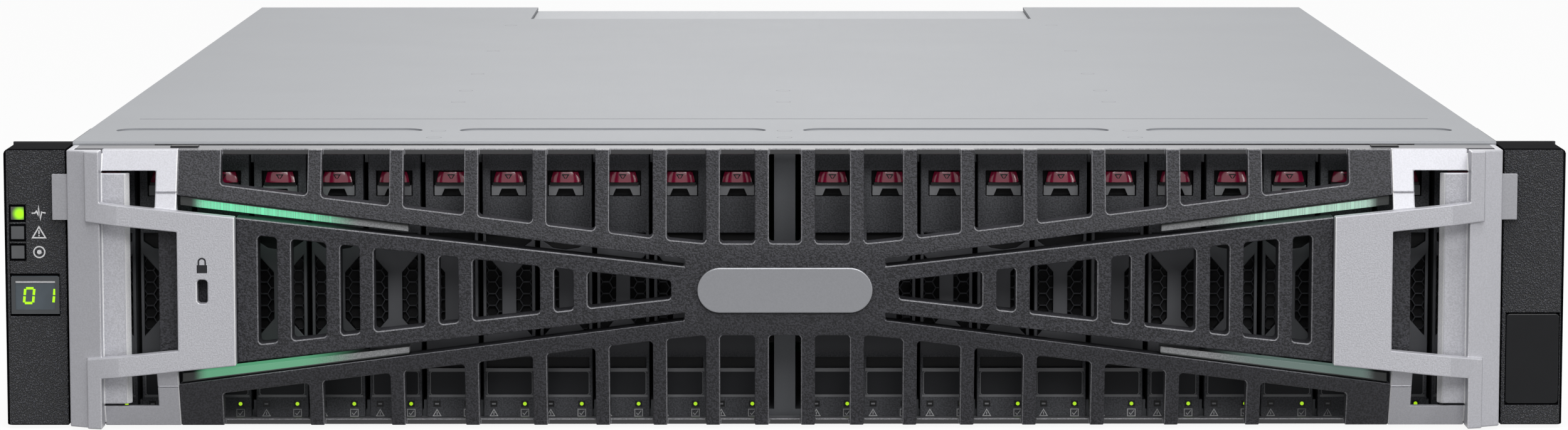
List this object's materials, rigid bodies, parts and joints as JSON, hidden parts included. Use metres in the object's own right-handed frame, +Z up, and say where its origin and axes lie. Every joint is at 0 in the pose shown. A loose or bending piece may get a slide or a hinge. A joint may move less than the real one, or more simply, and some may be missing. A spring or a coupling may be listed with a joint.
{
  "type": "storage array",
  "caption": "Rack-mounted storage array with small drives behind a lift-off lattice bezel, and sliding controllers and power modules at the back.",
  "frame": {"origin": "on the base plane, under the middle of the object's box", "axes": "+Z up, +X across the rack to the viewer's right, +Y from the front bezel to the rear panel"},
  "size_m": [0.4826, 0.6388, 0.0879],
  "materials": {
    "sheet": "satin zinc-coated sheet",
    "ear_metal": "satin black paint",
    "cap_plastic": "fine grained moulding with a gloss top edge",
    "lamp_lens": "clear moulding",
    "gloss_black": "polished",
    "lattice_plastic": "fine textured moulding",
    "silver_paint": "satin metallic paint",
    "rail_paint": "satin paint",
    "light_pipe": "clear moulding lit from behind",
    "badge_metal": "brushed",
    "drive_plastic": "fine grained moulding",
    "board_green": "solder mask",
    "connector_black": "moulded",
    "module_sheet": "satin zinc-coated sheet",
    "port_metal": "plated",
    "lever_plastic": "moulded",
    "fan_plastic": "moulded",
    "handle_plastic": "moulded"
  },
  "bodies": {
    "chassis": {"chassis_tray": "sheet", "top_cover": "sheet", "drive_guides": "sheet", "midplane_board": "board_green", "midplane_connectors": "connector_black", "bay_partitions": "sheet", "left_rack_ear": "ear_metal", "right_rack_ear": "ear_metal", "left_ear_cap": "cap_plastic", "right_ear_cap": "cap_plastic", "status_lenses": "lamp_lens", "label_blank": "gloss_black"},
    "bezel": {"bezel_lattice": "lattice_plastic", "bezel_left_bracket": "silver_paint", "bezel_right_bracket": "silver_paint", "bezel_rails": "rail_paint", "light_pipes": "light_pipe", "bezel_badge": "badge_metal"},
    "bezel_left_latch": {"bezel_left_latch": "silver_paint"},
    "bezel_right_latch": {"bezel_right_latch": "silver_paint"},
    "controller_a": {"controller_a_case": "module_sheet", "controller_a_board": "port_metal"},
    "controller_a_left_lever": {"controller_a_left_lever": "lever_plastic"},
    "controller_a_right_lever": {"controller_a_right_lever": "lever_plastic"},
    "controller_b": {"controller_b_case": "module_sheet", "controller_b_board": "port_metal"},
    "controller_b_left_lever": {"controller_b_left_lever": "lever_plastic"},
    "controller_b_right_lever": {"controller_b_right_lever": "lever_plastic"},
    "left_psu": {"left_psu_case": "module_sheet", "left_psu_handle": "handle_plastic"},
    "left_psu_fan": {"left_psu_fan": "fan_plastic"},
    "left_psu_latch": {"left_psu_latch": "lever_plastic"},
    "right_psu": {"right_psu_case": "module_sheet", "right_psu_handle": "handle_plastic"},
    "right_psu_fan": {"right_psu_fan": "fan_plastic"},
    "right_psu_latch": {"right_psu_latch": "lever_plastic"},
    "drive_01": {"drive_01": "drive_plastic"},
    "drive_02": {"drive_02": "drive_plastic"},
    "drive_03": {"drive_03": "drive_plastic"},
    "drive_04": {"drive_04": "drive_plastic"},
    "drive_05": {"drive_05": "drive_plastic"},
    "drive_06": {"drive_06": "drive_plastic"},
    "drive_07": {"drive_07": "drive_plastic"},
    "drive_08": {"drive_08": "drive_plastic"},
    "drive_09": {"drive_09": "drive_plastic"},
    "drive_10": {"drive_10": "drive_plastic"},
    "drive_11": {"drive_11": "drive_plastic"},
    "drive_12": {"drive_12": "drive_plastic"},
    "drive_13": {"drive_13": "drive_plastic"},
    "drive_14": {"drive_14": "drive_plastic"},
    "drive_15": {"drive_15": "drive_plastic"},
    "drive_16": {"drive_16": "drive_plastic"},
    "drive_17": {"drive_17": "drive_plastic"},
    "drive_18": {"drive_18": "drive_plastic"},
    "drive_19": {"drive_19": "drive_plastic"},
    "drive_20": {"drive_20": "drive_plastic"},
    "drive_21": {"drive_21": "drive_plastic"},
    "drive_22": {"drive_22": "drive_plastic"},
    "drive_23": {"drive_23": "drive_plastic"},
    "drive_24": {"drive_24": "drive_plastic"}
  },
  "joints": [
    {"name": "bezel_pull", "type": "slide", "parent": "chassis", "child": "bezel", "axis": [0, -1, 0], "range_m": [0, 0.06]},
    {"name": "left_bezel_latch_press", "type": "slide", "parent": "bezel", "child": "bezel_left_latch", "axis": [1, 0, 0], "range_m": [0, 0.0025], "stiffness_N_per_m": 600, "springref_m": -0.002},
    {"name": "right_bezel_latch_press", "type": "slide", "parent": "bezel", "child": "bezel_right_latch", "axis": [-1, 0, 0], "range_m": [0, 0.0025], "stiffness_N_per_m": 600, "springref_m": -0.002},
    {"name": "controller_a_slide", "type": "slide", "parent": "chassis", "child": "controller_a", "axis": [0, 1, 0], "range_m": [0, 0.4]},
    {"name": "controller_a_left_lever_swing", "type": "hinge", "parent": "controller_a", "child": "controller_a_left_lever", "pos_m": [-0.101, 0.29645, 0.0346], "axis": [0, 0, 1], "range_deg": [0, 70]},
    {"name": "controller_a_right_lever_swing", "type": "hinge", "parent": "controller_a", "child": "controller_a_right_lever", "pos_m": [0.101, 0.29645, 0.0346], "axis": [0, 0, -1], "range_deg": [0, 70]},
    {"name": "controller_b_slide", "type": "slide", "parent": "chassis", "child": "controller_b", "axis": [0, 1, 0], "range_m": [0, 0.4]},
    {"name": "controller_b_left_lever_swing", "type": "hinge", "parent": "controller_b", "child": "controller_b_left_lever", "pos_m": [-0.101, 0.29645, 0.07795], "axis": [0, 0, 1], "range_deg": [0, 70]},
    {"name": "controller_b_right_lever_swing", "type": "hinge", "parent": "controller_b", "child": "controller_b_right_lever", "pos_m": [0.101, 0.29645, 0.07795], "axis": [0, 0, -1], "range_deg": [0, 70]},
    {"name": "left_psu_slide", "type": "slide", "parent": "chassis", "child": "left_psu", "axis": [0, 1, 0], "range_m": [0, 0.4]},
    {"name": "left_psu_fan_spin", "type": "hinge", "parent": "left_psu", "child": "left_psu_fan", "pos_m": [-0.146, 0.27975, 0.04395], "axis": [0, 1, 0], "continuous": true},
    {"name": "left_psu_latch_press", "type": "slide", "parent": "left_psu", "child": "left_psu_latch", "axis": [1, 0, 0], "range_m": [0, 0.004], "stiffness_N_per_m": 500, "springref_m": -0.002},
    {"name": "right_psu_slide", "type": "slide", "parent": "chassis", "child": "right_psu", "axis": [0, 1, 0], "range_m": [0, 0.4]},
    {"name": "right_psu_fan_spin", "type": "hinge", "parent": "right_psu", "child": "right_psu_fan", "pos_m": [0.1849, 0.27975, 0.04395], "axis": [0, 1, 0], "continuous": true},
    {"name": "right_psu_latch_press", "type": "slide", "parent": "right_psu", "child": "right_psu_latch", "axis": [1, 0, 0], "range_m": [0, 0.004], "stiffness_N_per_m": 500, "springref_m": -0.002},
    {"name": "drive_01_slide", "type": "slide", "parent": "chassis", "child": "drive_01", "axis": [0, -1, 0], "range_m": [0, 0.008]},
    {"name": "drive_02_slide", "type": "slide", "parent": "chassis", "child": "drive_02", "axis": [0, -1, 0], "range_m": [0, 0.008]},
    {"name": "drive_03_slide", "type": "slide", "parent": "chassis", "child": "drive_03", "axis": [0, -1, 0], "range_m": [0, 0.008]},
    {"name": "drive_04_slide", "type": "slide", "parent": "chassis", "child": "drive_04", "axis": [0, -1, 0], "range_m": [0, 0.008]},
    {"name": "drive_05_slide", "type": "slide", "parent": "chassis", "child": "drive_05", "axis": [0, -1, 0], "range_m": [0, 0.008]},
    {"name": "drive_06_slide", "type": "slide", "parent": "chassis", "child": "drive_06", "axis": [0, -1, 0], "range_m": [0, 0.008]},
    {"name": "drive_07_slide", "type": "slide", "parent": "chassis", "child": "drive_07", "axis": [0, -1, 0], "range_m": [0, 0.008]},
    {"name": "drive_08_slide", "type": "slide", "parent": "chassis", "child": "drive_08", "axis": [0, -1, 0], "range_m": [0, 0.008]},
    {"name": "drive_09_slide", "type": "slide", "parent": "chassis", "child": "drive_09", "axis": [0, -1, 0], "range_m": [0, 0.008]},
    {"name": "drive_10_slide", "type": "slide", "parent": "chassis", "child": "drive_10", "axis": [0, -1, 0], "range_m": [0, 0.008]},
    {"name": "drive_11_slide", "type": "slide", "parent": "chassis", "child": "drive_11", "axis": [0, -1, 0], "range_m": [0, 0.008]},
    {"name": "drive_12_slide", "type": "slide", "parent": "chassis", "child": "drive_12", "axis": [0, -1, 0], "range_m": [0, 0.008]},
    {"name": "drive_13_slide", "type": "slide", "parent": "chassis", "child": "drive_13", "axis": [0, -1, 0], "range_m": [0, 0.008]},
    {"name": "drive_14_slide", "type": "slide", "parent": "chassis", "child": "drive_14", "axis": [0, -1, 0], "range_m": [0, 0.008]},
    {"name": "drive_15_slide", "type": "slide", "parent": "chassis", "child": "drive_15", "axis": [0, -1, 0], "range_m": [0, 0.008]},
    {"name": "drive_16_slide", "type": "slide", "parent": "chassis", "child": "drive_16", "axis": [0, -1, 0], "range_m": [0, 0.008]},
    {"name": "drive_17_slide", "type": "slide", "parent": "chassis", "child": "drive_17", "axis": [0, -1, 0], "range_m": [0, 0.008]},
    {"name": "drive_18_slide", "type": "slide", "parent": "chassis", "child": "drive_18", "axis": [0, -1, 0], "range_m": [0, 0.008]},
    {"name": "drive_19_slide", "type": "slide", "parent": "chassis", "child": "drive_19", "axis": [0, -1, 0], "range_m": [0, 0.008]},
    {"name": "drive_20_slide", "type": "slide", "parent": "chassis", "child": "drive_20", "axis": [0, -1, 0], "range_m": [0, 0.008]},
    {"name": "drive_21_slide", "type": "slide", "parent": "chassis", "child": "drive_21", "axis": [0, -1, 0], "range_m": [0, 0.008]},
    {"name": "drive_22_slide", "type": "slide", "parent": "chassis", "child": "drive_22", "axis": [0, -1, 0], "range_m": [0, 0.008]},
    {"name": "drive_23_slide", "type": "slide", "parent": "chassis", "child": "drive_23", "axis": [0, -1, 0], "range_m": [0, 0.008]},
    {"name": "drive_24_slide", "type": "slide", "parent": "chassis", "child": "drive_24", "axis": [0, -1, 0], "range_m": [0, 0.008]}
  ]
}
